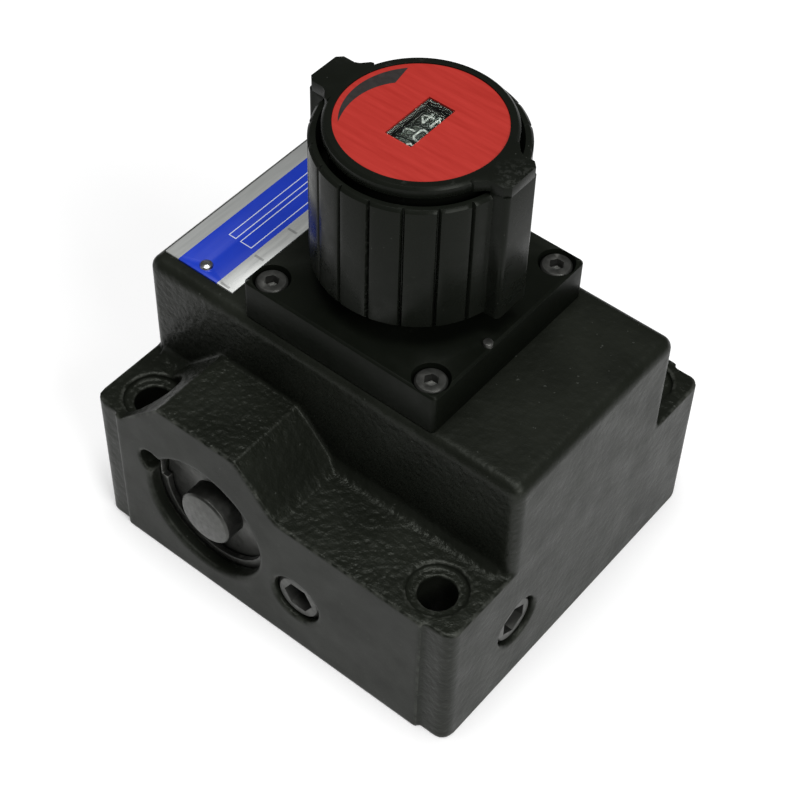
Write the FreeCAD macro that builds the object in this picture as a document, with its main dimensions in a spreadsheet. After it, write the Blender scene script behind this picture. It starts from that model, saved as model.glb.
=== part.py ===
"""Pressure-compensated flow control valve: gasket-mounted cast body, throttle column with a
digital dial knob on top, and a compensator spool in the front bore.

Frame: origin at the centre of the mounting face, +Z up to the knob, -Y the face with the large
plugged bore, +X to its right. Lengths are millimetres, angles are degrees."""

import FreeCAD, Part
import math
import os
import re
import Sketcher
from FreeCAD import Placement, Rotation, Vector

SIZES = {
    # casting
    "body_width": 103.4,            # along X
    "body_depth": 95.2,             # along Y, over the machined pads
    "pad_height": 1.0,              # how far the pads stand out of the corner strips
    "pad_half": 44.3,               # half width of the machined pads
    "flange_height": 40.5,
    "block_height": 69.5,
    "block_front": -26.5,
    "block_back": 30.0,
    "corner_round": 3.0,
    "block_round": 2.8,
    "foot_round": 3.2,
    "pad_foot_round": 0.8,
    "hump_top": 52.6,
    "bolt_pitch_x": 82.6,
    "bolt_pitch_y": 76.2,
    "bolt_hole": 4.4,               # radius
    "spotface_radius": 6.8,
    "spotface_depth": 1.4,
    # compensator bore, along Y
    "comp_x": -18.2,
    "comp_z": 23.3,
    "mouth_radius": 16.6,
    "mouth_chamfer": 0.7,
    "mouth_end": -31.0,             # y of the step where the mouth meets the spool bore
    "groove_radius": 17.6,
    "groove_front": -44.0,
    "groove_width": 1.7,
    "notch_x": -33.7,
    "notch_z": 31.3,
    "notch_radius": 3.7,
    "notch_depth": 4.5,
    "comp_bore": 10.0,
    "comp_end": 34.0,
    "comp_sleeve_inner": 7.0,
    "spool_clearance": 0.03,
    "comp_spool_front": -12.0,
    "comp_spool_back": 33.6,
    "plug_boss": 7.2,               # radius of the boss in the middle of the end plug
    "boss_front": -47.45,           # y of the boss's face
    "plug_front": -42.2,            # y of the end plug's face
    "plug_seal_y": -37.3,
    "plug_seal_half": 1.3,
    "plug_seal_floor": 14.5,        # radius
    "plug_pocket_y": -38.0,
    "plug_pocket": 6.0,             # radius of the pocket that holds the spring
    "ring_inner": 14.7,
    "comp_neck": 4.2,               # radius of the compensator spool's two waists
    "neck_one_front": -2.0,
    "neck_one_back": 6.0,
    "neck_two_front": 15.0,
    "neck_two_back": 24.0,
    # throttle bore, along Z
    "axis_x": 2.4,
    "axis_y": 0.8,
    "throttle_bore": 9.0,
    "throttle_floor": 11.0,
    "throttle_sleeve_inner": 5.5,
    "seat_top": 12.8,
    "spool_bottom": 26.0,
    "spool_top": 60.0,
    "neck_low": 31.5,               # the waist of the throttle spool, beside the passage into its bore
    "neck_high": 36.5,
    "neck_radius_low": 3.0,
    "land_end": 52.0,
    "sleeve_seal_z": 47.1,
    "sleeve_seal_half": 1.1,
    "spindle_seal_z": 64.95,
    "spindle_seal_half": 0.95,
    "gland_shoulder": 81.5,
    "gland_seat": 13.2,             # radius of the recess that locates the gland's flange
    "gland_seat_floor": 66.0,
    "gland_bottom": 61.0,
    "gland_through": 10.0,          # radius of the gland where it passes the cover plate
    "gland_tube": 6.4,
    "gland_top": 94.0,
    "spindle_radius": 4.0,
    "fit_gap": 0.04,                # radial running clearance of small shafts
    "seat_gap": 0.02,               # radial clearance of parts that are pushed together
    # ports in the mounting face
    "port_radius": 5.5,
    "port_seal_radius": 9.0,
    "port_seal_depth": 1.9,
    "inlet_y": 20.0,
    "chamber_radius": 12.0,         # ring-shaped chamber where the inlet reaches the spool bore
    "chamber_half": 6.5,
    "outlet_x": 27.0,
    # plugged drillings
    "front_plug_x": 9.2,
    "front_plug_z": 16.8,
    "side_plug_y": -21.8,
    "side_plug_z": 19.5,
    "plug_thread": 6.5,             # radius
    "drilling_radius": 3.5,
    "cross_high_z": 33.0,           # height of the passage into the throttle bore
    "cross_low_z": 19.3,            # height of the passage out of it
    "sleeve_window": 2.6,
    "plug_socket": 7.0,             # across flats
    "plug_length": 10.4,            # from the body's face to the plug's inner end
    "plug_sunk": 1.0,
    # cover plate
    "plate_width": 52.0,
    "plate_height": 10.5,
    "plate_round": 1.2,
    "plate_edge": 0.5,
    "screw_pitch": 43.2,
    "screw_head": 3.5,
    "screw_head_height": 4.0,
    "screw_sink": 4.6,
    "screw_sink_radius": 4.15,
    "screw_shank": 2.0,
    "screw_length": 16.0,
    "screw_socket": 3.0,
    "tapped_depth": 14.0,
    "stop_x": 27.2,
    "stop_y": -6.1,
    "stop_radius": 1.1,
    "stop_depth": 4.0,
    "stop_length": 4.7,
    "plate_seal_inner": 15.0,
    "plate_seal_outer": 17.2,
    "plate_seal_depth": 1.5,
    # knob
    "knob_bottom": 86.0,
    "skirt_top": 118.5,
    "skirt_radius": 22.5,
    "skirt_inner": 20.8,
    "rib_reach": 25.3,
    "rib_half": 5.0,
    "web_bottom": 104.0,
    "web_top": 107.0,
    "hub_bottom": 99.5,
    "hub_radius": 8.5,
    "set_screw_z": 102.0,
    "set_screw_radius": 1.5,
    "flute_depth": 1.1,
    "flute_half": 0.7,
    "ring_radius": 19.7,
    "ring_bottom": 119.4,
    "knob_top": 122.0,
    "ring_chamfer": 0.6,
    "neck_radius": 18.3,
    "neck_inner": 16.8,
    "label_radius": 17.6,
    "label_top": 121.68,
    "label_floor": 121.2,
    "window_width": 6.6,            # along X
    "window_length": 14.0,          # along Y
    "window_x": 2.3,
    "window_y": 0.65,
    # counter
    "counter_z": 113.9,
    "wheel_radius": 5.7,
    "wheel_pitch": 4.8,
    "wheel_width": 4.5,
    "units_y": 4.05,
    "axle_radius": 1.0,
    "frame_front": -9.0,
    "frame_back": 8.6,
    "frame_plate": 1.0,
    "transfer_x": -3.9,
    "transfer_z": 110.0,
    "transfer_radius": 1.35,
    "sun_pitch": 8.0,               # pitch radius of the fixed gear
    "pinion_pitch": 4.0,            # pitch radius of the pinion that rolls round it
    "gear_addendum": 0.6,
    "gear_dedendum": 0.85,
    "sun_bottom": 81.6,
    "sun_height": 12.0,
    "pinion_bottom": 88.0,
    "pinion_height": 4.0,
    "drive_top": 111.4,             # top of the drive shaft's head, which turns the counter's axle
    "drive_head": 1.6,              # radius of that head
    "bevel_y": 10.0,                # start of the disc on the counter's axle
    "bevel_radius": 3.2,
    "transfer_axle_radius": 0.5,
    # nameplate
    "name_x": -39.5,
    "name_y": 2.0,
    "name_width": 20.0,
    "name_length": 49.0,
    "name_thick": 0.5,
    "rivet_y": 22.0,                # rivets lie this far each side of the plate's centre
    "rivet_radius": 0.9,
    "rivet_depth": 5.0,
}

FLUTES = 20
FLUTE_START = -24.0                 # bearing of the first groove, from +X
SUN_TEETH = 20
PINION_TEETH = 10

UPWARD = Vector(0, 0, 1)
UP = Rotation()
ALONG_X = Rotation(Vector(0, 1, 0), 90)
AGAINST_X = Rotation(Vector(0, 1, 0), -90)
ALONG_Y = Rotation(Vector(1, 0, 0), -90)
ORIGIN = ("0", "0", "0")

doc = FreeCAD.newDocument("flow_control_valve")
sheet = doc.addObject("Spreadsheet::Sheet", "Sizes")
for row, (alias, value) in enumerate(SIZES.items(), 1):
    sheet.set(f"A{row}", alias)
    sheet.set(f"B{row}", str(value))
    sheet.setAlias(f"B{row}", alias)
doc.recompute()

nodes = {}


# ---- helpers -------------------------------------------------------------------------------

def cells(formula):
    """A formula in the sheet's words, with the sheet's name put before each of them."""
    return re.sub(r"[a-z]+(?:_[a-z]+)+", lambda word: "Sizes." + word.group(0), formula)


def place(piece, at, turn=UP):
    """Puts a piece at three formulas, turned."""
    piece.Placement = Placement(Vector(), turn)
    for letter, formula in zip("xyz", at):
        piece.setExpression(".Placement.Base." + letter, cells(formula))
    return piece


def primitive(kind, name, sizes, at=ORIGIN, turn=UP):
    piece = doc.addObject("Part::" + kind, name)
    for size, formula in sizes.items():
        piece.setExpression(size, cells(formula))
    return place(piece, at, turn)


def rod(name, radius, length, at=ORIGIN, turn=UP):
    return primitive("Cylinder", name, {"Radius": radius, "Height": length}, at, turn)


def block(name, length, width, height, at=ORIGIN):
    return primitive("Box", name, {"Length": length, "Width": width, "Height": height}, at)


def cone(name, start, end, length, at=ORIGIN, turn=UP):
    return primitive("Cone", name, {"Radius1": start, "Radius2": end, "Height": length}, at, turn)


def prism(name, flats, length, at=ORIGIN, turn=UP):
    """A hexagonal bar, given across its flats."""
    piece = doc.addObject("Part::Prism", name)
    piece.Polygon = 6
    piece.setExpression("Circumradius", cells(f"({flats}) / sqrt(3)"))
    piece.setExpression("Height", cells(length))
    return place(piece, at, turn)


def fuse(name, shapes):
    joined = doc.addObject("Part::MultiFuse", name)
    joined.Shapes = shapes
    joined.Refine = True
    return joined


def cut(name, base, tools):
    """base with every tool taken away."""
    taken = doc.addObject("Part::Cut", name)
    taken.Base = base
    taken.Tool = tools[0] if len(tools) == 1 else fuse(name + "_cutters", tools)
    taken.Refine = True
    return taken


def rounded(name, base, radius, chosen, kind="Fillet"):
    """base with a fillet or chamfer of a sheet size on each edge for which chosen is true."""
    doc.recompute()
    piece = doc.addObject("Part::" + kind, name)
    piece.Base = base
    edges = [number for number, edge in enumerate(base.Shape.Edges, 1) if chosen(edge)]
    if not edges:
        raise ValueError(f"{name} finds no edge")
    piece.Edges = [(number, SIZES[radius], SIZES[radius]) for number in edges]
    doc.recompute()
    if not piece.Shape.isValid():
        raise ValueError(f"{name} is not valid")
    return piece


def sketch_on(body, role, name):
    """An empty sketch on one of the body's own origin planes."""
    sketch = body.newObject("Sketcher::SketchObject", name)
    plane = next(face for face in body.Origin.OriginFeatures if face.Role == role)
    sketch.AttachmentSupport = (plane, [""])
    sketch.MapMode = "FlatFace"
    return sketch


def polygon(sketch, outline):
    """A closed outline whose corners are held by formulas measured from the sketch's origin."""
    count = len(outline)
    ring = [360.0 / count * step for step in range(count)]
    start = [Vector(150 + 50 * math.cos(math.radians(a)), 50 * math.sin(math.radians(a))) for a in ring]
    for step in range(count):
        sketch.addGeometry(Part.LineSegment(start[step], start[(step + 1) % count]), False)
    for step in range(count):
        sketch.addConstraint(Sketcher.Constraint("Coincident", step, 2, (step + 1) % count, 1))
    for step, corner in enumerate(outline):
        for kind, formula, own_axis in zip(("DistanceX", "DistanceY"), corner, (-2, -1)):
            if formula == "0":
                sketch.addConstraint(Sketcher.Constraint("PointOnObject", step, 1, own_axis))
                continue
            number = sketch.addConstraint(Sketcher.Constraint(kind, -1, 1, step, 1, 1.0 + step))
            sketch.setExpression(f"Constraints[{number}]", cells(formula))


def turned(name, outline, at=ORIGIN, turn=UP):
    """A turned piece: its half section (radius, height) spun round its own Z axis."""
    body = doc.addObject("PartDesign::Body", name)
    sketch = sketch_on(body, "XZ_Plane", name + "_section")
    polygon(sketch, outline)
    spin = body.newObject("PartDesign::Revolution", name + "_spin")
    spin.Profile = sketch
    spin.ReferenceAxis = (sketch, ["V_Axis"])
    spin.Angle = 360
    return place(body, at, turn)


def padded(name, role, outline, depth, at=ORIGIN):
    """A flat piece: an outline on one of its own planes, padded by a formula."""
    body = doc.addObject("PartDesign::Body", name)
    sketch = sketch_on(body, role, name + "_outline")
    polygon(sketch, outline)
    pad = body.newObject("PartDesign::Pad", name + "_pad")
    pad.Profile = sketch
    pad.setExpression("Length", cells(depth))
    return place(body, at)


def torus(name, mean, wire, at=ORIGIN, turn=UP):
    return primitive("Torus", name, {"Radius1": mean, "Radius2": wire}, at, turn)


def node(name, piece):
    """Names a finished piece, which is written to its own file."""
    piece.Label = name
    nodes[name] = piece
    return piece


def on_knob(x="0", y="0", z="0"):
    """A place measured from the knob's axis."""
    return (f"axis_x + {x}", f"axis_y + {y}", z)


def on_comp(y):
    """A place on the compensator bore's axis."""
    return ("comp_x", y, "comp_z")


def coil(name, mean, wire, free, turns, centre, turn=UP):
    """A round-wire compression spring as one swept solid, standing on its own start."""
    helix = Part.makeHelix(free / turns, free, mean)
    start = helix.Edges[0].Vertexes[0].Point
    heading = helix.Edges[0].tangentAt(helix.Edges[0].FirstParameter)
    section = Part.Wire([Part.makeCircle(wire, start, heading)])
    solid = Part.Wire(helix.Edges).makePipeShell([section], True, True)
    spring = doc.addObject("Part::Feature", name)
    spring.Shape = solid
    spring.Placement = Placement(centre, turn)
    return spring


def vertical(edge):
    ends = [corner.Point for corner in edge.Vertexes]
    return len(ends) == 2 and abs(ends[0].x - ends[1].x) < 1e-4 and abs(ends[0].y - ends[1].y) < 1e-4


def near(edge, x=None, y=None, z=None):
    """Whether an edge's middle has the given coordinates."""
    middle = edge.CenterOfMass
    wanted = ((middle.x, x), (middle.y, y), (middle.z, z))
    return all(value is None or abs(real - value) < 0.02 for real, value in wanted)


# ---- casting -------------------------------------------------------------------------------

def make_valve_body():
    pad_half = SIZES["pad_half"]
    strip_y = SIZES["body_depth"] / 2 - SIZES["pad_height"]

    base = block("base", "body_width", "body_depth - 2 * pad_height", "flange_height",
                 ("-body_width / 2", "-body_depth / 2 + pad_height", "0"))
    base = rounded("base_corners", base, "corner_round", vertical)
    pads = block("pads", "2 * pad_half", "body_depth", "flange_height",
                 ("-pad_half", "-body_depth / 2", "0"))
    upper = block("upper", "body_width", "block_back - block_front", "block_height",
                  ("-body_width / 2", "block_front", "0"))
    hump = padded("hump", "XZ_Plane", [
        ("-42.3", "flange_height - 2"), ("-42.3", "flange_height"),
        ("-42.3 + hump_top - flange_height", "hump_top"), ("-7.4", "hump_top"), ("-5.4", "hump_top - 1.9"),
        ("2.6", "flange_height + 1.2"),
        ("4.6", "flange_height"), ("4.6", "flange_height - 2")],
        "body_depth / 2 + block_front + 6", ("0", "block_front + 6", "0"))
    foot = fuse("foot", [base, pads])
    foot = rounded("pad_feet", foot, "pad_foot_round", lambda edge: vertical(edge) and any(
        near(edge, x=sx * pad_half, y=sy * strip_y) for sx in (-1, 1) for sy in (-1, 1)))
    upper = rounded("block_edges", upper, "block_round", lambda edge: (
        vertical(edge) or near(edge, z=SIZES["block_height"])))
    feet = [wall_foot("front_foot", "block_front", -1), wall_foot("back_foot", "block_back", 1)]
    casting = fuse("casting", [foot, upper, hump, *feet])

    mouth = ("comp_x", "-body_depth / 2", "comp_z")
    cutters = [
        rod("mouth", "mouth_radius", "mouth_end + body_depth / 2", mouth, ALONG_Y),
        cone("mouth_lip", "mouth_radius + mouth_chamfer", "mouth_radius", "mouth_chamfer", mouth, ALONG_Y),
        rod("ring_groove", "groove_radius", "groove_width", on_comp("groove_front"), ALONG_Y),
        rod("ring_notch", "notch_radius", "notch_depth", ("notch_x", "-body_depth / 2", "notch_z"), ALONG_Y),
        rod("comp_drill", "comp_bore", "comp_end - mouth_end", on_comp("mouth_end"), ALONG_Y),
        rod("inlet_chamber", "chamber_radius", "2 * chamber_half", on_comp("inlet_y - chamber_half"),
            ALONG_Y),
        rod("throttle_drill", "throttle_bore", "block_height - throttle_floor", on_knob(z="throttle_floor")),
        rod("gland_recess", "gland_seat", "block_height - gland_seat_floor", on_knob(z="gland_seat_floor")),
        rod("inlet_drill", "port_radius", "comp_z", ("comp_x", "inlet_y", "0")),
        rod("inlet_ring", "port_seal_radius", "port_seal_depth", ("comp_x", "inlet_y", "0")),
        rod("outlet_drill", "port_radius", "comp_z", ("outlet_x", "axis_y", "0")),
        rod("outlet_ring", "port_seal_radius", "port_seal_depth", ("outlet_x", "axis_y", "0")),
        rod("cross_in", "drilling_radius", "axis_x - comp_x", ("comp_x", "axis_y", "cross_high_z"), ALONG_X),
        rod("cross_out", "drilling_radius", "outlet_x - axis_x", ("axis_x", "axis_y", "cross_low_z"),
            ALONG_X),
    ]
    front = ("front_plug_x", "-body_depth / 2", "front_plug_z")
    cutters += plug_seat("front", front, ALONG_Y, "body_depth / 2 - 4")
    side = ("body_width / 2", "side_plug_y", "side_plug_z")
    cutters += plug_seat("side", side, AGAINST_X, "body_width / 2 - front_plug_x")
    for number, (sx, sy) in enumerate([(-1, -1), (1, -1), (-1, 1), (1, 1)]):
        spot = (f"{sx} * bolt_pitch_x / 2", f"{sy} * bolt_pitch_y / 2")
        cutters.append(rod(f"bolt_hole_{number}", "bolt_hole", "block_height", (*spot, "0")))
        cutters.append(rod(f"bolt_seat_{number}", "spotface_radius", "hump_top",
                           (*spot, "flange_height - spotface_depth")))
        hole = (f"{sx} * screw_pitch / 2", f"{sy} * screw_pitch / 2")
        cutters.append(rod(f"tapped_hole_{number}", "screw_shank", "tapped_depth",
                           on_knob(*hole, "block_height - tapped_depth")))
        if sx < 0:
            rivet = ("name_x", f"name_y + {sy} * rivet_y", "block_height - rivet_depth")
            cutters.append(rod(f"rivet_hole_{number}", "rivet_radius", "rivet_depth", rivet))
    node("valve_body", cut("valve_body", casting, cutters))


def wall_foot(name, wall, side):
    """The concave round where a wall of the upper block meets the flange."""
    long = "body_width - 2 * block_round"
    start = "block_round - body_width / 2"
    corner = wall if side > 0 else f"{wall} - foot_round"
    strip = block(name + "_strip", long, "foot_round", "foot_round", (start, corner, "flange_height - 0.01"))
    hollow = rod(name + "_hollow", "foot_round", long,
                 (start, f"{wall} + {side} * foot_round", "flange_height + foot_round"), ALONG_X)
    return cut(name, strip, [hollow])


def plug_seat(name, at, turn, length):
    """The cutters of a plugged drilling: its countersink, thread and pilot."""
    return [
        cone(f"{name}_sink", "plug_thread + 0.5", "plug_thread", "0.5", at, turn),
        rod(f"{name}_thread", "plug_thread", "plug_length + plug_sunk + 0.6", at, turn),
        rod(f"{name}_pilot", "drilling_radius", length, at, turn),
    ]


# ---- plugs, seals and small fixed parts ----------------------------------------------------

def make_pipe_plug(name, at, turn):
    """A taper-thread plug with a hexagon socket, sunk a little below its face."""
    shell = turned(name + "_blank", [
        ("0", "plug_sunk"), ("plug_thread - 1.1", "plug_sunk"), ("plug_thread - seat_gap", "plug_sunk + 1"),
        ("plug_thread - seat_gap", "plug_length - 0.9"), ("plug_thread - 0.8", "plug_length"),
        ("0", "plug_length")], at, turn)
    socket = prism(name + "_socket", "plug_socket", "plug_length - 3", at, turn)
    node(name, cut(name, shell, [socket]))


def make_port_seals():
    spots = {"inlet_port_seal": ("comp_x", "inlet_y"), "outlet_port_seal": ("outlet_x", "axis_y")}
    half = "port_seal_depth / 2"
    for name, spot in spots.items():
        node(name, torus(name, "port_radius + 2.2", half + " - 0.02", (*spot, half)))


def make_cover_plate():
    plate = block("plate_blank", "plate_width", "plate_width", "plate_height",
                  on_knob("-plate_width / 2", "-plate_width / 2", "block_height"))
    plate = rounded("plate_corners", plate, "plate_round", vertical)
    top = SIZES["block_height"] + SIZES["plate_height"]
    plate = rounded("plate_rim", plate, "plate_edge", lambda edge: near(edge, z=top), "Chamfer")
    stop = ("stop_x", "stop_y")
    cutters = [
        rod("plate_bore", "gland_through + seat_gap", "plate_height", on_knob(z="block_height")),
        turned("seal_groove", [
            ("plate_seal_inner", "0"), ("plate_seal_outer", "0"), ("plate_seal_outer", "plate_seal_depth"),
            ("plate_seal_inner", "plate_seal_depth")], on_knob(z="block_height")),
        rod("stop_hole", "stop_radius", "stop_depth", (*stop, "block_height + plate_height - stop_depth")),
    ]
    for number, (sx, sy) in enumerate([(-1, -1), (1, -1), (-1, 1), (1, 1)]):
        hole = (f"{sx} * screw_pitch / 2", f"{sy} * screw_pitch / 2")
        cutters.append(rod(f"plate_hole_{number}", "screw_shank + 0.2", "plate_height",
                           on_knob(*hole, "block_height")))
        cutters.append(rod(f"plate_sink_{number}", "screw_sink_radius", "screw_sink",
                           on_knob(*hole, "block_height + plate_height - screw_sink")))
    node("cover_plate", cut("cover_plate", plate, cutters))
    node("cover_seal", torus("cover_seal", "(plate_seal_inner + plate_seal_outer) / 2", "0.7",
                             on_knob(z="block_height + plate_seal_depth / 2 - 0.01")))
    node("stop_pin", rod("stop_pin", "stop_radius - seat_gap", "stop_length",
                         (*stop, "block_height + plate_height - stop_depth + 0.1")))


def make_cover_screws():
    screws = []
    for number, (sx, sy) in enumerate([(-1, -1), (1, -1), (-1, 1), (1, 1)]):
        spot = (f"{sx} * screw_pitch / 2", f"{sy} * screw_pitch / 2")
        at = on_knob(*spot, "block_height + plate_height - screw_sink")
        blank = turned(f"screw_blank_{number}", [
            ("0", "-screw_length"), ("screw_shank - 0.4", "-screw_length"),
            ("screw_shank - seat_gap", "0.4 - screw_length"), ("screw_shank - seat_gap", "0"),
            ("screw_head", "0"), ("screw_head", "screw_head_height - 0.4"),
            ("screw_head - 0.4", "screw_head_height"), ("0", "screw_head_height")], at)
        socket = prism(f"screw_socket_{number}", "screw_socket", "3",
                       on_knob(*spot, "block_height + plate_height - screw_sink + screw_head_height - 2.2"))
        screws.append(cut(f"screw_{number}", blank, [socket]))
    node("cover_screws", fuse("cover_screws", screws))


def make_nameplate():
    plate = block("name_blank", "name_width", "name_length", "name_thick",
                  ("name_x - name_width / 2", "name_y - name_length / 2", "block_height"))
    holes, rivets = [], []
    for number, side in enumerate((-1, 1)):
        spot = ("name_x", f"name_y + {side} * rivet_y")
        holes.append(rod(f"name_hole_{number}", "rivet_radius + 0.1", "name_thick", (*spot, "block_height")))
        rivets.append(turned(f"rivet_{number}", [
            ("0", "1 - rivet_depth"), ("rivet_radius - seat_gap", "1 - rivet_depth"),
            ("rivet_radius - seat_gap", "name_thick"), ("1.6", "name_thick"),
            ("1.35", "name_thick + 0.45"), ("0.7", "name_thick + 0.75"), ("0", "name_thick + 0.75")],
            (*spot, "block_height")))
    node("nameplate", cut("nameplate", plate, holes))
    node("nameplate_rivets", fuse("nameplate_rivets", rivets))


# ---- throttle column -----------------------------------------------------------------------

def make_throttle():
    sleeve = turned("throttle_sleeve_blank", [
        ("throttle_sleeve_inner", "throttle_floor + 0.1"), ("throttle_bore - seat_gap", "throttle_floor + 0.1"),
        ("throttle_bore - seat_gap", "gland_bottom - 0.1"), ("throttle_sleeve_inner", "gland_bottom - 0.1")],
        on_knob())
    windows = [
        rod("sleeve_in", "sleeve_window", "throttle_bore + 1",
            on_knob("-throttle_bore - 1", "0", "cross_high_z"), ALONG_X),
        rod("sleeve_out", "sleeve_window", "throttle_bore + 1", on_knob("0", "0", "cross_low_z"), ALONG_X),
        turned("sleeve_seal_groove", [
            ("throttle_bore - 1.6", "sleeve_seal_z - sleeve_seal_half"),
            ("throttle_bore + 1", "sleeve_seal_z - sleeve_seal_half"),
            ("throttle_bore + 1", "sleeve_seal_z + sleeve_seal_half"),
            ("throttle_bore - 1.6", "sleeve_seal_z + sleeve_seal_half")], on_knob()),
    ]
    node("throttle_sleeve", cut("throttle_sleeve", sleeve, windows))
    node("sleeve_seal", torus("sleeve_seal", "throttle_bore - 0.8", "0.76", on_knob(z="sleeve_seal_z")))
    node("spring_seat", turned("spring_seat", [
        ("0", "throttle_floor + 0.1"), ("throttle_sleeve_inner - 0.05", "throttle_floor + 0.1"),
        ("throttle_sleeve_inner - 0.05", "seat_top"), ("2.6", "seat_top"), ("2.2", "seat_top + 1.6"),
        ("0", "seat_top + 1.6")], on_knob()))
    free = SIZES["spool_bottom"] - SIZES["seat_top"] - 1.2
    axis = Vector(SIZES["axis_x"], SIZES["axis_y"], SIZES["seat_top"] + 0.6)
    node("throttle_spring", coil("throttle_spring", 3.9, 0.5, free, 5, axis))
    land = "throttle_sleeve_inner - spool_clearance"
    spool = turned("throttle_spool_blank", [
        ("0", "spool_bottom"), (land, "spool_bottom"), (land, "neck_low - 1"), ("neck_radius_low", "neck_low"),
        ("neck_radius_low", "neck_high"), (land, "neck_high + 1"), (land, "land_end"), ("3.2", "land_end"),
        ("3.2", "spool_top - 0.6"), ("2.6", "spool_top"), ("0", "spool_top")], on_knob())
    relief = rod("spool_relief", "1.2", "14", on_knob(z="spool_bottom"))
    node("throttle_spool", cut("throttle_spool", spool, [relief]))


def make_gland():
    gland = turned("gland_blank", [
        ("spindle_radius + fit_gap", "gland_bottom"), ("throttle_bore - seat_gap", "gland_bottom"),
        ("throttle_bore - seat_gap", "gland_seat_floor"), ("gland_seat - seat_gap", "gland_seat_floor"),
        ("gland_seat - seat_gap", "block_height"), ("gland_through", "block_height"),
        ("gland_through", "gland_shoulder"), ("gland_tube", "gland_shoulder"), ("gland_tube", "gland_top"),
        ("spindle_radius + fit_gap", "gland_top")], on_knob())
    groove = turned("gland_groove", [
        ("spindle_radius - 1", "spindle_seal_z - spindle_seal_half"),
        ("spindle_radius + 1.4", "spindle_seal_z - spindle_seal_half"),
        ("spindle_radius + 1.4", "spindle_seal_z + spindle_seal_half"),
        ("spindle_radius - 1", "spindle_seal_z + spindle_seal_half")], on_knob())
    node("spindle_gland", cut("spindle_gland", gland, [groove]))
    node("spindle_seal", torus("spindle_seal", "spindle_radius + 0.72", "0.66", on_knob(z="spindle_seal_z")))


# ---- compensator bore ----------------------------------------------------------------------

def make_compensator():
    sleeve = turned("comp_sleeve_blank", [
        ("comp_sleeve_inner", "mouth_end + 0.2"), ("comp_bore - seat_gap", "mouth_end + 0.2"),
        ("comp_bore - seat_gap", "comp_end - 0.1"), ("comp_sleeve_inner", "comp_end - 0.1")],
        ("comp_x", "0", "comp_z"), ALONG_Y)
    windows = [
        rod("comp_window_in", "3.5", "comp_bore + 1", ("comp_x", "inlet_y", "comp_z - comp_bore - 1")),
        rod("comp_window_out", "3.0", "comp_bore + 1", ("comp_x", "axis_y", "cross_high_z - 2"), ALONG_X),
    ]
    node("compensator_sleeve", cut("compensator_sleeve", sleeve, windows))
    spool_radius = "comp_sleeve_inner - spool_clearance"
    spool = turned("comp_spool_blank", [
        ("0", "comp_spool_front"), (spool_radius, "comp_spool_front"), (spool_radius, "neck_one_front - 1"),
        ("comp_neck", "neck_one_front"), ("comp_neck", "neck_one_back"), (spool_radius, "neck_one_back + 1"),
        (spool_radius, "neck_two_front - 1"), ("comp_neck", "neck_two_front"), ("comp_neck", "neck_two_back"),
        (spool_radius, "neck_two_back + 1"), (spool_radius, "comp_spool_back"), ("0", "comp_spool_back")],
        ("comp_x", "0", "comp_z"), ALONG_Y)
    pocket = rod("comp_spool_pocket", "3.0", "6", on_comp("comp_spool_front"), ALONG_Y)
    node("compensator_spool", cut("compensator_spool", spool, [pocket]))

    skirt = "mouth_radius - seat_gap"
    plug = turned("end_plug_blank", [
        ("0", "boss_front"), ("plug_boss - 0.5", "boss_front"), ("plug_boss", "boss_front + 0.5"),
        ("plug_boss", "plug_front"), (skirt + " - 0.6", "plug_front"), (skirt, "plug_front + 0.6"),
        (skirt, "plug_seal_y - plug_seal_half"), ("plug_seal_floor", "plug_seal_y - plug_seal_half"),
        ("plug_seal_floor", "plug_seal_y + plug_seal_half"), (skirt, "plug_seal_y + plug_seal_half"),
        (skirt, "mouth_end - 0.1"),
        ("0", "mouth_end - 0.1")], ("comp_x", "0", "comp_z"), ALONG_Y)
    spring_pocket = rod("end_plug_pocket", "plug_pocket", "mouth_end - plug_pocket_y", on_comp("plug_pocket_y"),
                        ALONG_Y)
    node("end_plug", cut("end_plug", plug, [spring_pocket]))
    node("end_plug_seal", torus("end_plug_seal", "plug_seal_floor + 1.04", "1.0", on_comp("plug_seal_y"),
                                ALONG_Y))

    end_gap = 0.85
    start = SIZES["plug_pocket_y"] + end_gap
    free = SIZES["comp_spool_front"] - end_gap - start
    centre = Vector(SIZES["comp_x"], start, SIZES["comp_z"])
    node("compensator_spring", coil("compensator_spring", 4.9, 0.75, free, 8, centre, ALONG_Y))

    ring = turned("ring_blank", [
        ("ring_inner", "groove_front + 0.15"), ("groove_radius - 0.15", "groove_front + 0.15"),
        ("groove_radius - 0.15", "groove_front + groove_width - 0.05"),
        ("ring_inner", "groove_front + groove_width - 0.05")], ("comp_x", "0", "comp_z"), ALONG_Y)
    gap = block("ring_gap", "6", "4", "12", ("notch_x - 1", "groove_front - 1", "notch_z - 8"))
    node("retaining_ring", cut("retaining_ring", ring, [gap]))


# ---- knob ----------------------------------------------------------------------------------

def make_spindle():
    spindle = turned("spindle_blank", [
        ("0", "spool_top"), ("spindle_radius - 0.5", "spool_top"), ("spindle_radius", "spool_top + 0.5"),
        ("spindle_radius", "web_top - 1"), ("spindle_radius - 0.6", "web_top - 0.4"), ("0", "web_top - 0.4")],
        on_knob())
    flat = block("spindle_flat", "3", "6", "8", on_knob("-spindle_radius - 2.4", "-3", "hub_bottom - 0.5"))
    node("spindle", cut("spindle", spindle, [flat]))


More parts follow.
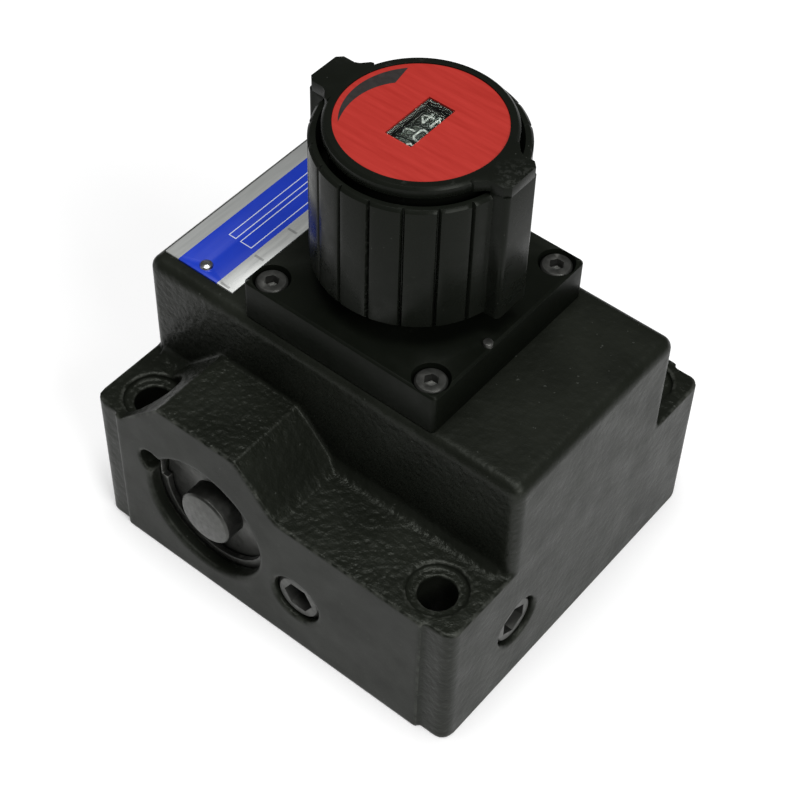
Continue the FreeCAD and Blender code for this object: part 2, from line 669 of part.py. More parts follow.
def make_knob_grip():
    """The fluted skirt with its two ribs, web and hub."""
    skirt = turned("skirt", [
        ("skirt_inner", "knob_bottom"), ("skirt_radius - 0.5", "knob_bottom"),
        ("skirt_radius", "knob_bottom + 0.5"), ("skirt_radius", "skirt_top - 0.6"),
        ("skirt_radius - 0.6", "skirt_top"), ("skirt_inner", "skirt_top")], on_knob())
    web = turned("web", [
        ("spindle_radius + seat_gap", "hub_bottom"), ("hub_radius", "hub_bottom"), ("hub_radius", "web_bottom"),
        ("skirt_inner + 0.2", "web_bottom"), ("skirt_inner + 0.2", "web_top"),
        ("spindle_radius + seat_gap", "web_top")], on_knob())
    grooves = []
    for number in range(FLUTES):
        bearing = FLUTE_START - number * 360.0 / FLUTES
        spot = (f"(skirt_radius + 0.6) * cos({bearing})", f"(skirt_radius + 0.6) * sin({bearing})")
        grooves.append(primitive("Wedge", f"flute_{number}", {
            "Xmin": "-flute_half", "Xmax": "flute_half", "X2min": "-0.08", "X2max": "0.08",
            "Ymin": "0", "Ymax": "flute_depth + 0.6", "Zmin": "0", "Zmax": "skirt_top - knob_bottom + 2",
            "Z2min": "0", "Z2max": "skirt_top - knob_bottom + 2"},
            on_knob(*spot, "knob_bottom - 1"), Rotation(UPWARD, bearing + 90)))
    skirt = cut("fluted_skirt", skirt, grooves)
    ribs = []
    for number, side in enumerate((-1, 1)):
        rib = block(f"rib_{number}", "rib_reach - skirt_inner - 0.3", "2 * rib_half", "ring_bottom - knob_bottom",
                    on_knob("skirt_inner + 0.3" if side > 0 else "-rib_reach", "-rib_half", "knob_bottom"))
        ribs.append(rib)
    grip = fuse("grip_blank", [skirt, web, *ribs])
    reach = SIZES["rib_reach"]
    grip = rounded("rib_corners", grip, "plate_round", lambda edge: vertical(edge) and any(
        near(edge, x=SIZES["axis_x"] + side * reach) for side in (-1, 1)))
    cutters = [
        rod("drive_hole", "axle_radius + fit_gap", "web_top - web_bottom",
            on_knob("0", "sun_pitch + pinion_pitch", "web_bottom")),
        rod("set_screw_hole", "set_screw_radius", "rib_reach", on_knob("0", "0", "set_screw_z"), AGAINST_X),
    ]
    node("knob_grip", cut("knob_grip", grip, cutters))
    screw = turned("set_screw_blank", [
        ("0", "spindle_radius - 0.55"), ("set_screw_radius - 0.4", "spindle_radius - 0.55"),
        ("set_screw_radius - seat_gap", "spindle_radius - 0.1"),
        ("set_screw_radius - seat_gap", "hub_radius - 0.2"), ("0", "hub_radius - 0.2")],
        on_knob("0", "0", "set_screw_z"), AGAINST_X)
    socket = prism("set_screw_socket", "1.5", "3", on_knob("2.2 - hub_radius", "0", "set_screw_z"), AGAINST_X)
    node("knob_set_screw", cut("knob_set_screw", screw, [socket]))


def make_dial_cap():
    """The ring and its two lugs, with a neck that stands on the grip's web."""
    ring = turned("ring", [
        ("neck_inner", "web_top"), ("neck_radius", "web_top"), ("neck_radius", "ring_bottom"),
        ("ring_radius", "ring_bottom"), ("ring_radius", "knob_top - ring_chamfer"),
        ("ring_radius - ring_chamfer", "knob_top"), ("label_radius + 0.05", "knob_top"),
        ("label_radius + 0.05", "label_floor"), ("0", "label_floor"), ("0", "ring_bottom + 0.4"),
        ("neck_inner", "ring_bottom + 0.4")], on_knob())
    lugs = []
    for number, side in enumerate((-1, 1)):
        lugs.append(padded(f"lug_{number}", "XY_Plane", [
            (f"{side} * (neck_radius - 0.2)", "-rib_half - 2.4"),
            (f"{side} * (ring_radius - 0.9)", "-rib_half - 2.2"),
            (f"{side} * (ring_radius + 0.6)", "-rib_half - 0.5"),
            (f"{side} * (ring_radius + 1.6)", "-rib_half"),
            (f"{side} * (rib_reach - plate_round)", "-rib_half"), (f"{side} * rib_reach", "-rib_half + plate_round"),
            (f"{side} * rib_reach", "rib_half - plate_round"), (f"{side} * (rib_reach - plate_round)", "rib_half"),
            (f"{side} * (ring_radius + 1.6)", "rib_half"),
            (f"{side} * (ring_radius + 0.6)", "rib_half + 0.5"),
            (f"{side} * (ring_radius - 0.9)", "rib_half + 2.2"),
            (f"{side} * (neck_radius - 0.2)", "rib_half + 2.4")],
            "knob_top - ring_bottom - 0.02", on_knob(z="ring_bottom + 0.02")))
    cap = fuse("cap_blank", [ring, *lugs])
    window = block("cap_window", "window_width + 1.4", "window_length + 1.4", "4",
                   ("window_x - window_width / 2 - 0.7", "window_y - window_length / 2 - 0.7", "ring_bottom"))
    node("dial_cap", cut("dial_cap", cap, [window]))


def make_label_and_window():
    label = rod("label_blank", "label_radius", "label_top - label_floor", on_knob(z="label_floor"))
    corner = ("window_x - window_width / 2", "window_y - window_length / 2")
    node("dial_label", cut("dial_label", label, [
        block("label_window", "window_width", "window_length", "1", (*corner, "label_floor"))]))
    rim = block("bezel_blank", "window_width + 1.3", "window_length + 1.3", "label_floor - ring_bottom - 0.45",
                ("window_x - window_width / 2 - 0.65", "window_y - window_length / 2 - 0.65", "ring_bottom + 0.4"))
    hole = block("bezel_hole", "window_width - 0.5", "window_length - 0.5", "4",
                 ("window_x - window_width / 2 + 0.25", "window_y - window_length / 2 + 0.25", "ring_bottom"))
    rebate = block("bezel_rebate", "window_width + 0.1", "window_length + 0.1", "0.62",
                   ("window_x - window_width / 2 - 0.05", "window_y - window_length / 2 - 0.05",
                    "label_floor - 0.62"))
    node("window_bezel", cut("window_bezel", rim, [hole, rebate]))
    node("window_lens", block("window_lens", "window_width", "window_length", "0.5",
                              (*corner, "label_floor - 0.6")))


# ---- counter -------------------------------------------------------------------------------

def make_counter():
    low = "web_top"
    base = block("frame_base", "13", "frame_back - frame_front", "frame_plate",
                 ("axis_x - 7.5", "frame_front", low))
    sides = [block(f"frame_side_{number}", "13", "frame_plate", "11", ("axis_x - 7.5", y, low))
             for number, y in enumerate(("frame_front", "frame_back - frame_plate"))]
    frame = fuse("frame_blank", [base, *sides])
    through = "frame_back - frame_front"
    holes = [
        rod("axle_hole", "axle_radius + fit_gap", through, ("axis_x", "frame_front", "counter_z"), ALONG_Y),
        rod("transfer_hole", "transfer_axle_radius + seat_gap", through,
            ("transfer_x", "frame_front", "transfer_z"), ALONG_Y),
    ]
    node("counter_frame", cut("counter_frame", frame, holes))

    axle = turned("axle_blank", [
        ("0", "frame_front - 0.4"), ("axle_radius", "frame_front - 0.4"), ("axle_radius", "bevel_y"),
        ("bevel_radius", "bevel_y"), ("bevel_radius", "bevel_y + 1"), ("0", "bevel_y + 1")],
        ("axis_x", "0", "counter_z"), ALONG_Y)
    node("counter_axle", axle)
    node("transfer_axle", rod("transfer_axle", "transfer_axle_radius", through,
                              ("transfer_x", "frame_front", "transfer_z"), ALONG_Y))

    for number, name in enumerate(("counter_wheel_units", "counter_wheel_tens", "counter_wheel_hundreds")):
        middle = f"units_y - {number} * wheel_pitch"
        gap = "seat_gap" if number == 0 else "fit_gap"
        half = "wheel_width / 2"
        wheel = turned(name + "_blank", [
            (f"axle_radius + {gap}", f"{middle} - {half}"), ("wheel_radius - 0.2", f"{middle} - {half}"),
            ("wheel_radius", f"{middle} - {half} + 0.2"), ("wheel_radius", f"{middle} + {half} - 0.2"),
            ("wheel_radius - 0.2", f"{middle} + {half}"), (f"axle_radius + {gap}", f"{middle} + {half}")],
            ("axis_x", "0", "counter_z"), ALONG_Y)
        node(name, wheel)
    inner = "transfer_axle_radius + fit_gap"
    for number, name in enumerate(("transfer_pinion_low", "transfer_pinion_high")):
        edge = f"units_y - ({number} + 0.5) * wheel_pitch"
        node(name, turned(name, [
            (inner, f"{edge} - 1.6"), ("transfer_radius", f"{edge} - 1.6"),
            ("transfer_radius", f"{edge} + 1.6"), (inner, f"{edge} + 1.6")],
            ("transfer_x", "0", "transfer_z"), ALONG_Y))


def gear_face(pitch, teeth, centre, bearing):
    """The face of a spur gear with straight-sided teeth, one of them centred on the bearing."""
    root = pitch - SIZES["gear_dedendum"]
    tip = pitch + SIZES["gear_addendum"]
    step = 360.0 / teeth
    corners = []
    for tooth in range(teeth):
        middle = bearing + tooth * step
        for radius, share in ((root, -0.27), (tip, -0.11), (tip, 0.11), (root, 0.27)):
            angle = math.radians(middle + share * step)
            corners.append(centre + Vector(radius * math.cos(angle), radius * math.sin(angle)))
    return Part.Face(Part.makePolygon([*corners, corners[0]]))


def make_counter_drive():
    """The fixed gear on the gland, and the shaft whose pinion rolls round it."""
    axis = Vector(SIZES["axis_x"], SIZES["axis_y"], SIZES["sun_bottom"])
    sun = gear_face(SIZES["sun_pitch"], SUN_TEETH, axis, 90).extrude(UPWARD * SIZES["sun_height"])
    fixed = doc.addObject("Part::Feature", "sun_teeth")
    fixed.Shape = sun
    bore = rod("sun_bore", "gland_tube + seat_gap", "sun_height + 2", on_knob(z="sun_bottom - 1"))
    node("counter_fixed_gear", cut("counter_fixed_gear", fixed, [bore]))

    reach = SIZES["sun_pitch"] + SIZES["pinion_pitch"]
    centre = Vector(SIZES["axis_x"], SIZES["axis_y"] + reach, SIZES["pinion_bottom"])
    teeth = gear_face(SIZES["pinion_pitch"], PINION_TEETH, centre, -90 + 180.0 / PINION_TEETH)
    pinion = doc.addObject("Part::Feature", "pinion_teeth")
    pinion.Shape = teeth.extrude(UPWARD * SIZES["pinion_height"])
    shaft = turned("drive_shaft_blank", [
        ("0", "pinion_bottom - 1"), ("axle_radius", "pinion_bottom - 1"), ("axle_radius", "drive_top - 2.4"),
        ("drive_head", "drive_top - 1.8"), ("drive_head", "drive_top"), ("0", "drive_top")],
        on_knob("0", "sun_pitch + pinion_pitch", "0"))
    node("counter_drive_shaft", fuse("counter_drive_shaft", [pinion, shaft]))


# ---- build and write -----------------------------------------------------------------------

def check_and_write():
    doc.recompute()
    for piece in doc.Objects:
        if {"Invalid", "Error"} & set(piece.State):
            raise ValueError(f"{piece.Label} failed: {piece.State}")
    os.makedirs("parts", exist_ok=True)
    for name, piece in nodes.items():
        if piece.Shape.isNull() or not piece.Shape.isValid() or not piece.Shape.Solids:
            raise ValueError(f"{name} has no valid solid")
        piece.Shape.exportStep(f"parts/{name}.step")
        print(f"{name:26s} solids {len(piece.Shape.Solids)}  volume {piece.Shape.Volume:10.1f}")


make_valve_body()
make_cover_plate()
make_cover_screws()
make_nameplate()
make_port_seals()
make_pipe_plug("front_pipe_plug", ("front_plug_x", "-body_depth / 2", "front_plug_z"), ALONG_Y)
make_pipe_plug("side_pipe_plug", ("body_width / 2", "side_plug_y", "side_plug_z"), AGAINST_X)
make_throttle()
make_gland()
make_compensator()
make_spindle()
make_knob_grip()
make_dial_cap()
make_label_and_window()
make_counter()
make_counter_drive()
check_and_write()
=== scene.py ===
"""Looks of the flow control valve: painted casting, moulded knob, printed dial and nameplate.

Everything is in metres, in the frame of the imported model: -Y is the face with the large bore,
+Z is up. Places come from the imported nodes' boxes."""

import math

import bmesh
import bpy
import numpy as np
from mathutils import Matrix, Vector, noise


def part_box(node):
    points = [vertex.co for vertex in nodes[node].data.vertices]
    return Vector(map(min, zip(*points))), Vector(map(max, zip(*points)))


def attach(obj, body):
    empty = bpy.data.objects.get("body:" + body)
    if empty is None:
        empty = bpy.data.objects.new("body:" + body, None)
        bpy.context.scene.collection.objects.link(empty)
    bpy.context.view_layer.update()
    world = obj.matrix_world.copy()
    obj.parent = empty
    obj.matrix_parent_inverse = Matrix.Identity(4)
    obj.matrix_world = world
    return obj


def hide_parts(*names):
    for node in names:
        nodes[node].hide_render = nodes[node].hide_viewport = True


MM = 0.001

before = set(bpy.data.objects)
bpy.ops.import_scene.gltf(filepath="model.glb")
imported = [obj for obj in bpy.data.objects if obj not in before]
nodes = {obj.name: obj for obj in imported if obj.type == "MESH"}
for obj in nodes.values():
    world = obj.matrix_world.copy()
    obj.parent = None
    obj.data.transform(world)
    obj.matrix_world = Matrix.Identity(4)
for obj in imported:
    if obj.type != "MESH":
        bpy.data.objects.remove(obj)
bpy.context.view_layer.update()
scene = bpy.context.scene


def middle(name):
    """The centre of a node's box."""
    low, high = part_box(name)
    return (low + high) / 2


KNOB_AXIS = middle("dial_label")
LABEL_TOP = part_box("dial_label")[1].z
BORE = middle("end_plug")
BODY_LOW, BODY_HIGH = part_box("valve_body")
FLANGE_TOP = 40.5 * MM


# ---- materials -----------------------------------------------------------------------------

class Shader:
    """A material being built: short calls that add nodes and join them."""

    def __init__(self, name):
        self.material = bpy.data.materials.new(name)
        self.material.use_nodes = True
        self.tree = self.material.node_tree
        self.tree.nodes.clear()
        self.output = self.tree.nodes.new("ShaderNodeOutputMaterial")
        self.surface = self.tree.nodes.new("ShaderNodeBsdfPrincipled")
        self.join(self.surface.outputs[0], self.output.inputs[0])
        self.place = self.add("ShaderNodeTexCoord").outputs["Object"]

    def add(self, kind, **settings):
        made = self.tree.nodes.new(kind)
        for key, value in settings.items():
            setattr(made, key, value)
        return made

    def join(self, source, target):
        """Joins a socket to another, or sets the other to a plain value."""
        if isinstance(source, bpy.types.NodeSocket):
            self.tree.links.new(source, target)
        else:
            target.default_value = source

    def math(self, operation, first, second=0.0, clamp=False):
        made = self.add("ShaderNodeMath", operation=operation, use_clamp=clamp)
        self.join(first, made.inputs[0])
        self.join(second, made.inputs[1])
        return made.outputs[0]

    def noise(self, scale, detail=3.0, roughness=0.55, where=None):
        made = self.add("ShaderNodeTexNoise")
        self.join(self.place if where is None else where, made.inputs["Vector"])
        self.join(scale, made.inputs["Scale"])
        self.join(detail, made.inputs["Detail"])
        self.join(roughness, made.inputs["Roughness"])
        return made.outputs["Fac"]

    def cells(self, scale, feature="SMOOTH_F1"):
        made = self.add("ShaderNodeTexVoronoi", feature=feature)
        self.join(self.place, made.inputs["Vector"])
        self.join(scale, made.inputs["Scale"])
        return made.outputs["Distance"]

    def ramp(self, source, low, high, start=0.0, end=1.0):
        """source stretched from low..high to start..end, and held there."""
        made = self.add("ShaderNodeMapRange", clamp=True)
        for value, name in ((source, 0), (low, 1), (high, 2), (start, 3), (end, 4)):
            self.join(value, made.inputs[name])
        return made.outputs[0]

    def mix(self, share, first, second):
        """A colour that goes from first to second."""
        made = self.add("ShaderNodeMix", data_type="RGBA")
        self.join(share, made.inputs[0])
        self.join(first, made.inputs[6])
        self.join(second, made.inputs[7])
        return made.outputs[2]

    def stretched(self, scale):
        """The object's coordinates, scaled unevenly."""
        made = self.add("ShaderNodeMapping")
        self.join(self.place, made.inputs[0])
        made.inputs["Scale"].default_value = scale
        return made.outputs[0]

    def position(self):
        """The object's X, Y and Z."""
        made = self.add("ShaderNodeSeparateXYZ")
        self.join(self.place, made.inputs[0])
        return made.outputs

    def between(self, source, low, high):
        """1 where source lies between low and high, else 0."""
        above = self.math("GREATER_THAN", source, low)
        return self.math("MULTIPLY", above, self.math("LESS_THAN", source, high))

    def edge_wear_and_highlight_mask(self, start=0.51, end=0.56):
        """1 on outside edges, 0 on flats: where paint has rubbed thin, and where a highlight is painted along
        edges.
        """
        return self.ramp(self.add("ShaderNodeNewGeometry").outputs["Pointiness"], start, end)

    def bump(self, height, distance, strength=1.0, below=None):
        made = self.add("ShaderNodeBump")
        self.join(height, made.inputs["Height"])
        self.join(distance, made.inputs["Distance"])
        self.join(strength, made.inputs["Strength"])
        if below is not None:
            self.join(below, made.inputs["Normal"])
        return made.outputs[0]

    def finish(self, **inputs):
        for key, value in inputs.items():
            self.join(value, self.surface.inputs[key.replace("_", " ")])
        return self.material


def rgb(red, green, blue):
    return (red, green, blue, 1.0)


def casting_paint():
    """Satin black enamel over sand-cast iron: pebbled where cast, smoother where machined."""
    s = Shader("casting_paint")
    cast = s.add("ShaderNodeAttribute", attribute_name="cast").outputs["Fac"]
    cloud = s.noise(55.0, 4.0)
    speck = s.noise(2600.0, 2.0)
    colour = s.mix(s.ramp(cloud, 0.35, 0.7), rgb(0.0062, 0.0072, 0.0052), rgb(0.0115, 0.0130, 0.0098))
    # Edges painted lighter: partly paint rubbed thin, partly a painted highlight where the edges catch the light.
    edge_wear_and_highlight = s.math("MULTIPLY", s.edge_wear_and_highlight_mask(0.515, 0.60), s.ramp(s.noise(420.0, 4.0), 0.42, 0.62))
    colour = s.mix(s.math("MULTIPLY", edge_wear_and_highlight, 0.75), colour, rgb(0.12, 0.125, 0.11))
    fleck = s.math("GREATER_THAN", s.noise(900.0, 2.0), 0.74)
    colour = s.mix(s.math("MULTIPLY", fleck, 0.35), colour, rgb(0.09, 0.095, 0.085))
    gloss = s.ramp(s.noise(140.0, 4.0), 0.3, 0.7, 0.36, 0.46)
    gloss = s.math("ADD", gloss, s.math("MULTIPLY", speck, 0.05))
    gloss = s.math("SUBTRACT", gloss, s.math("MULTIPLY", cast, 0.12))
    pebble = s.math("ADD", s.cells(620.0), s.math("MULTIPLY", s.noise(1100.0, 3.0), 0.8))
    fine = s.bump(s.noise(3400.0, 2.0), 0.00004, 0.5)
    rough = s.bump(pebble, 0.00028, s.ramp(cast, 0.0, 1.0, 0.04, 0.85), fine)
    return s.finish(Base_Color=colour, Roughness=gloss, Normal=rough, Specular_IOR_Level=0.13,
                    Specular_Tint=rgb(0.95, 1.0, 0.89))


def cover_paint():
    """The cover plate's smoother black enamel, lighter along its edges: paint rubbed thin there, and a painted
    edge highlight.
    """
    s = Shader("cover_paint")
    cloud = s.noise(90.0, 4.0)
    colour = s.mix(cloud, rgb(0.0028, 0.0036, 0.0024), rgb(0.0058, 0.0070, 0.0050))
    # Edges painted lighter: partly paint rubbed thin, partly a painted highlight along the plate's edges.
    edge_wear_and_highlight = s.math("MULTIPLY", s.edge_wear_and_highlight_mask(0.56, 0.66), s.ramp(s.noise(700.0, 4.0), 0.45, 0.60))
    colour = s.mix(s.math("MULTIPLY", edge_wear_and_highlight, 0.45), colour, rgb(0.20, 0.21, 0.19))
    gloss = s.ramp(s.noise(260.0, 4.0), 0.3, 0.7, 0.34, 0.46)
    grain = s.bump(s.noise(1500.0, 4.0), 0.00006, 0.4)
    return s.finish(Base_Color=colour, Roughness=gloss, Normal=grain, Specular_IOR_Level=0.08,
                    Specular_Tint=rgb(0.95, 1.0, 0.89))


def black_oxide():
    """Blackened steel with fine turning marks."""
    s = Shader("black_oxide")
    colour = s.mix(s.noise(500.0, 4.0), rgb(0.030, 0.031, 0.028), rgb(0.085, 0.086, 0.080))
    edge_wear_and_highlight = s.math("MULTIPLY", s.edge_wear_and_highlight_mask(0.53, 0.62), s.noise(900.0, 3.0))
    colour = s.mix(edge_wear_and_highlight, colour, rgb(0.35, 0.35, 0.33))
    gloss = s.ramp(s.noise(800.0, 3.0), 0.3, 0.7, 0.30, 0.48)
    marks = s.bump(s.noise(2400.0, 3.0), 0.00003, 0.5)
    return s.finish(Base_Color=colour, Roughness=gloss, Metallic=0.75, Normal=marks)


def bare_steel():
    """Ground steel, with grinding marks and a little tarnish."""
    s = Shader("bare_steel")
    marks = s.noise(300.0, 5.0, 0.7, s.stretched((1.0, 1.0, 14.0)))
    colour = s.mix(s.ramp(s.noise(120.0, 4.0), 0.35, 0.7), rgb(0.36, 0.36, 0.35), rgb(0.52, 0.52, 0.50))
    gloss = s.ramp(marks, 0.3, 0.7, 0.20, 0.36)
    return s.finish(Base_Color=colour, Roughness=gloss, Metallic=1.0, Normal=s.bump(marks, 0.00002, 0.5))


def seal_rubber():
    """Nitrile rubber with a soft bloom."""
    s = Shader("seal_rubber_skin")
    colour = s.mix(s.noise(400.0, 4.0), rgb(0.010, 0.010, 0.010), rgb(0.028, 0.028, 0.027))
    gloss = s.ramp(s.noise(900.0, 3.0), 0.3, 0.7, 0.50, 0.70)
    return s.finish(Base_Color=colour, Roughness=gloss, Normal=s.bump(s.noise(3000.0, 2.0), 0.00003, 0.4))


def knob_plastic():
    """Glossy black moulded plastic: faint flow marks, dust specks and rubbed edges."""
    s = Shader("knob_moulding")
    flow = s.noise(70.0, 4.0, 0.6, s.stretched((1.0, 1.0, 0.25)))
    colour = s.mix(flow, rgb(0.0042, 0.0050, 0.0038), rgb(0.0085, 0.0098, 0.0074))
    edge_wear_and_highlight = s.math("MULTIPLY", s.edge_wear_and_highlight_mask(0.58, 0.70), s.ramp(s.noise(1300.0, 3.0), 0.50, 0.62))
    colour = s.mix(s.math("MULTIPLY", edge_wear_and_highlight, 0.2), colour, rgb(0.10, 0.105, 0.095))
    dust = s.math("GREATER_THAN", s.noise(1700.0, 1.0), 0.80)
    colour = s.mix(s.math("MULTIPLY", dust, 0.3), colour, rgb(0.14, 0.145, 0.13))
    gloss = s.ramp(s.noise(240.0, 4.0), 0.3, 0.7, 0.22, 0.36)
    skin = s.bump(s.noise(1200.0, 3.0), 0.00003, 0.35)
    return s.finish(Base_Color=colour, Roughness=gloss, Normal=skin, Specular_IOR_Level=0.08,
                    Specular_Tint=rgb(0.96, 1.0, 0.91))


def dial_red():
    """Printed red foil with a faint brushed grain under the ink and a few scuffs."""
    s = Shader("dial_red_print")
    grain = s.noise(500.0, 5.0, 0.7, s.stretched((0.12, 1.6, 1.0)))
    colour = s.mix(s.ramp(grain, 0.35, 0.65), rgb(0.345, 0.0165, 0.0105), rgb(0.405, 0.0215, 0.0140))
    scuff = s.math("GREATER_THAN", s.noise(520.0, 3.0), 0.73)
    colour = s.mix(s.math("MULTIPLY", scuff, 0.25), colour, rgb(0.50, 0.06, 0.04))
    gloss = s.ramp(grain, 0.3, 0.7, 0.36, 0.46)
    return s.finish(Base_Color=colour, Roughness=gloss, Normal=s.bump(grain, 0.00002, 0.35))


def dial_ink():
    """The black ink of the dial's arrow."""
    s = Shader("dial_ink")
    colour = s.mix(s.noise(600.0, 4.0), rgb(0.010, 0.009, 0.009), rgb(0.030, 0.024, 0.022))
    gloss = s.ramp(s.noise(900.0, 3.0), 0.3, 0.7, 0.34, 0.48)
    return s.finish(Base_Color=colour, Roughness=gloss, Normal=s.bump(s.noise(2500.0, 2.0), 0.00001, 0.4))


def moulded_grey(name, low, high, gloss_low=0.35, gloss_high=0.5):
    """A matt moulded plastic between two shades."""
    s = Shader(name)
    colour = s.mix(s.noise(300.0, 4.0), low, high)
    gloss = s.ramp(s.noise(900.0, 3.0), 0.3, 0.7, gloss_low, gloss_high)
    return s.finish(Base_Color=colour, Roughness=gloss, Normal=s.bump(s.noise(2600.0, 2.0), 0.00002, 0.4))


def lens_plastic():
    """The thin clear window: mostly see-through, with a sheen."""
    s = Shader("lens_clear")
    gloss = s.ramp(s.noise(700.0, 3.0), 0.3, 0.7, 0.03, 0.09)
    return s.finish(Base_Color=rgb(0.92, 0.96, 0.94), Roughness=gloss, IOR=1.3,
                    Transmission_Weight=1.0, Normal=s.bump(s.noise(500.0, 2.0), 0.000004, 0.3))


def nameplate_print():
    """Brushed aluminium foil with a printed blue band and ruled blank fields."""
    s = Shader("nameplate_print")
    low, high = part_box("nameplate")
    x, y = s.position()[:2]
    width = high.x - low.x
    brush = s.noise(700.0, 5.0, 0.7, s.stretched((1.0, 0.05, 1.0)))
    metal = s.mix(s.ramp(brush, 0.3, 0.7), rgb(0.36, 0.37, 0.36), rgb(0.47, 0.48, 0.465))
    band = s.between(x, low.x + 0.195 * width, low.x + 0.77 * width)
    blue = s.mix(s.noise(240.0, 3.0), rgb(0.0045, 0.030, 0.40), rgb(0.0070, 0.040, 0.48))
    colour = s.mix(band, metal, blue)
    rules = rule_lines(s, x, y, low, high)
    colour = s.mix(s.math("MULTIPLY", band, rules), colour, rgb(0.62, 0.66, 0.72))
    footer = s.between(x, low.x + 0.80 * width, low.x + 0.93 * width)
    tick = s.math("MULTIPLY", footer, s.between(s.math("FRACT", s.math("MULTIPLY", y, 90.0)), 0.0, 0.06))
    colour = s.mix(s.math("MULTIPLY", tick, 0.5), colour, rgb(0.08, 0.08, 0.08))
    metallic = s.math("SUBTRACT", 0.30, s.math("MULTIPLY", band, 0.28))
    gloss = s.ramp(brush, 0.3, 0.7, 0.30, 0.44)
    return s.finish(Base_Color=colour, Roughness=gloss, Metallic=metallic, Normal=s.bump(brush, 0.00001, 0.4))


def rule_lines(s, x, y, low, high):
    """The outlines of two blank data fields in the blue band."""
    width, length = high.x - low.x, high.y - low.y
    line = 0.22 * MM
    boxes = []
    for start, end in ((0.36, 0.47), (0.53, 0.70)):
        left, right = low.x + start * width, low.x + end * width
        bottom, top = low.y + 0.26 * length, high.y - 0.07 * length
        outer = s.math("MULTIPLY", s.between(x, left, right), s.between(y, bottom, top))
        inner = s.math("MULTIPLY", s.between(x, left + line, right - line),
                       s.between(y, bottom + line, top - line))
        boxes.append(s.math("SUBTRACT", outer, inner))
    return s.math("ADD", boxes[0], boxes[1], clamp=True)


# ---- mesh helpers --------------------------------------------------------------------------

def new_piece(name, mesh, body, slot, material, *replaced):
    """A finished piece that rides on a body and takes a material. The slot is not used."""
    piece = bpy.data.objects.new(name, mesh)
    scene.collection.objects.link(piece)
    mesh.materials.clear()
    mesh.materials.append(material)
    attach(piece, body)
    if replaced:
        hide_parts(*replaced)
    return piece


def welded(name):
    """A copy of a CAD node's mesh with its seams joined, as a bmesh."""
    mesh = bmesh.new()
    mesh.from_mesh(nodes[name].data)
    bmesh.ops.remove_doubles(mesh, verts=mesh.verts, dist=2e-7)
    return mesh


def with_modifiers(mesh, settings):
    """The mesh after a list of (kind, settings) modifiers."""
    carrier = bpy.data.objects.new("carrier", mesh)
    scene.collection.objects.link(carrier)
    for kind, values in settings:
        modifier = carrier.modifiers.new(kind, kind)
        for key, value in values.items():
            setattr(modifier, key, value)
    graph = bpy.context.evaluated_depsgraph_get()
    made = bpy.data.meshes.new_from_object(carrier.evaluated_get(graph), depsgraph=graph)
    bpy.data.objects.remove(carrier)
    return made


def eased(name, body, slot, material, width=0.25, segments=2, angle=28.0):
    """A CAD node with its edges eased by a small bevel, in place of the node."""
    work = welded(name)
    bmesh.ops.dissolve_limit(work, angle_limit=math.radians(0.05), verts=work.verts, edges=work.edges,
                             delimit={"NORMAL"})
    mesh = bpy.data.meshes.new(name + "_eased")
    work.to_mesh(mesh)
    work.free()
    mesh = with_modifiers(mesh, [
        ("BEVEL", {"width": width * MM, "segments": segments, "limit_method": "ANGLE",
                   "angle_limit": math.radians(angle), "harden_normals": False}),
        ("TRIANGULATE", {}),
    ])
    shade(mesh)
    return new_piece(name + "_finished", mesh, body, slot, material, name)


def shade(mesh, angle=32.0):
    """Smooth shading that keeps edges sharper than the angle."""
    mesh.polygons.foreach_set("use_smooth", [True] * len(mesh.polygons))
    mesh.set_sharp_from_angle(angle=math.radians(angle))


def keep(name, material):
    """A CAD node that stays as it is, with a better material."""
    mesh = nodes[name].data
    mesh.materials.clear()
    mesh.materials.append(material)


# ---- casting -------------------------------------------------------------------------------

def cast_share(point, normal):
    """How rough the casting is at a point: 0 on machined faces, 1 on the roughest skin."""
    x, y, z = point / MM
    half_y = BODY_HIGH.y / MM
    if z < 0.4 or abs(y) > half_y - 0.5:
        return 0.0
    along_bore = math.hypot(x - BORE.x / MM, z - BORE.z / MM)
    if along_bore < 18.0 and y < -20:
        return 0.0
    if normal[2] > 0.7:
        if z > 60:
            return 0.30
        return 1.0 if y < 0 else 0.8
    if abs(x) > BODY_HIGH.x / MM - 0.5:
        return 0.22
    if z > FLANGE_TOP / MM + 1:
        return 0.55
    return 0.35


def make_casting(material):
    """The body as a fine mesh whose cast skin is pebbled in the shape itself."""
    work = welded("valve_body")
    mesh = bpy.data.meshes.new("casting_weld")
    work.to_mesh(mesh)
    work.free()
    mesh = with_modifiers(mesh, [
        ("REMESH", {"mode": "VOXEL", "voxel_size": 0.55 * MM, "use_smooth_shade": True}),
        ("SHRINKWRAP", {"target": nodes["valve_body"], "wrap_method": "NEAREST_SURFACEPOINT"}),
        ("SMOOTH", {"factor": 0.5, "iterations": 2}),
    ])
    count = len(mesh.vertices)
    places, normals = np.empty(count * 3), np.empty(count * 3)
    mesh.vertices.foreach_get("co", places)
    mesh.vertex_normals.foreach_get("vector", normals)
    places, normals = places.reshape(-1, 3), normals.reshape(-1, 3)
    rough = np.empty(count)
    for index in range(count):
        point = Vector(places[index])
        rough[index] = cast_share(point, normals[index])
        coarse = noise.noise(point * 420.0) * 0.6 + noise.noise(point * 900.0) * 0.4
        places[index] -= normals[index] * (rough[index] * 0.10 * MM * (0.5 + 0.5 * coarse))
    mesh.vertices.foreach_set("co", np.clip(places, BODY_LOW, BODY_HIGH).ravel())
    mesh.update()
    skin = mesh.attributes.new("cast", "FLOAT", "POINT")
    skin.data.foreach_set("value", rough)
    mesh.polygons.foreach_set("use_smooth", [True] * len(mesh.polygons))
    return new_piece("casting", mesh, "valve", "painted_casting", material, "valve_body")


# ---- dial ----------------------------------------------------------------------------------

